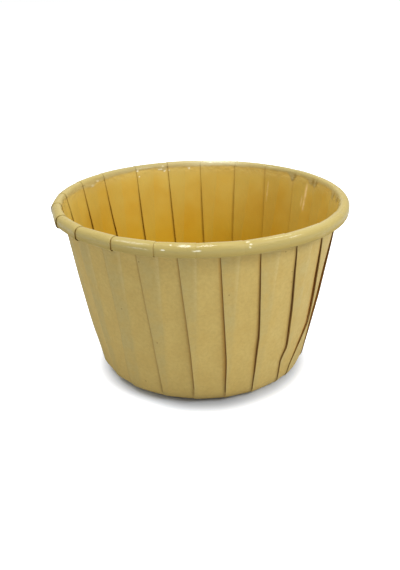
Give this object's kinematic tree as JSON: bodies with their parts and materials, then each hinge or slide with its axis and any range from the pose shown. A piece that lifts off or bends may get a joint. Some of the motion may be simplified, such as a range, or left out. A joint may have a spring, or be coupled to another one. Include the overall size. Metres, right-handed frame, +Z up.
{
  "type": "cupcake liner",
  "caption": "Round paper baking cup pressed from one flat disc, with a leaning pleated wall, a flat base and a rim rolled outwards; it holds batter in the oven.",
  "frame": {"origin": "centre of the flat base, on the surface that the cup stands on", "axes": "+Z up along the cup's axis, through the mouth; -Y faces the camera of the picture and +X is to its right"},
  "size_m": [0.069, 0.069, 0.0415],
  "materials": {
    "paper": "unbleached paper, matte outside, with a glossy clear film on its inner face, which also shows on the roll"
  },
  "bodies": {
    "root": {"cup": "paper"}
  },
  "joints": []
}
